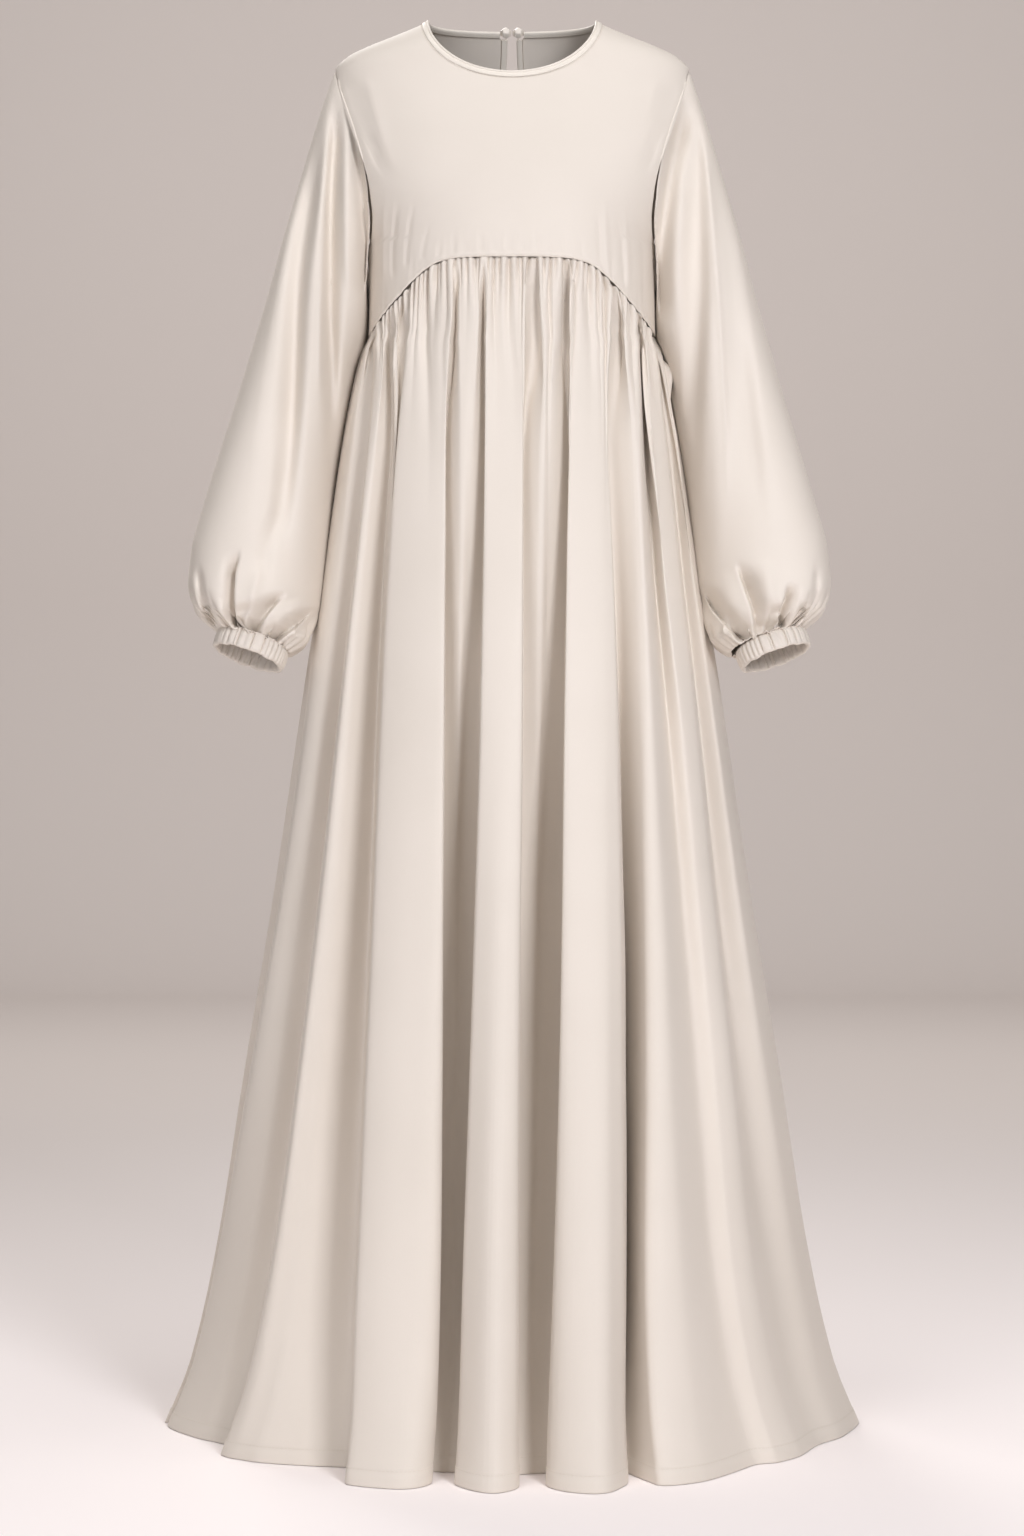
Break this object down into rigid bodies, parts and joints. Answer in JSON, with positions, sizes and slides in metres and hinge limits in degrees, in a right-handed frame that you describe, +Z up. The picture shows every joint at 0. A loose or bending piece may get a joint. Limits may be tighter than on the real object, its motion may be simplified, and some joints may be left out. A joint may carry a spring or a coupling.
{
  "type": "abaya with an arched gathered skirt and balloon sleeves",
  "caption": "Full-length abaya with a round bound neck, arched empire seam, gathered floor-length skirt, long balloon sleeves in elastic cuffs and a back keyhole, filled out as worn.",
  "frame": {"origin": "midway between the two side-neck points, where the shoulders of the wearer hold the garment", "axes": "+Z up, the front of the garment faces -Y, and the wearer's left is +X"},
  "size_m": [0.742, 0.6469, 1.5086],
  "materials": {
    "crepe": "satin-back crepe, warm ivory, soft sheen",
    "cuff": "the same crepe, ruched over elastic",
    "binding": "the same crepe cut on the bias, satin side out",
    "button": "moulded, faceted, pearly ivory"
  },
  "bodies": {
    "root": {"bodice_front": "crepe", "bodice_back": "crepe", "skirt_front": "crepe", "skirt_back": "crepe", "sleeve_left": "crepe", "sleeve_right": "crepe", "cuff_left": "cuff", "cuff_right": "cuff", "neck_binding": "binding", "keyhole_binding": "binding", "neck_button_left": "button", "neck_button_right": "button"}
  },
  "joints": []
}
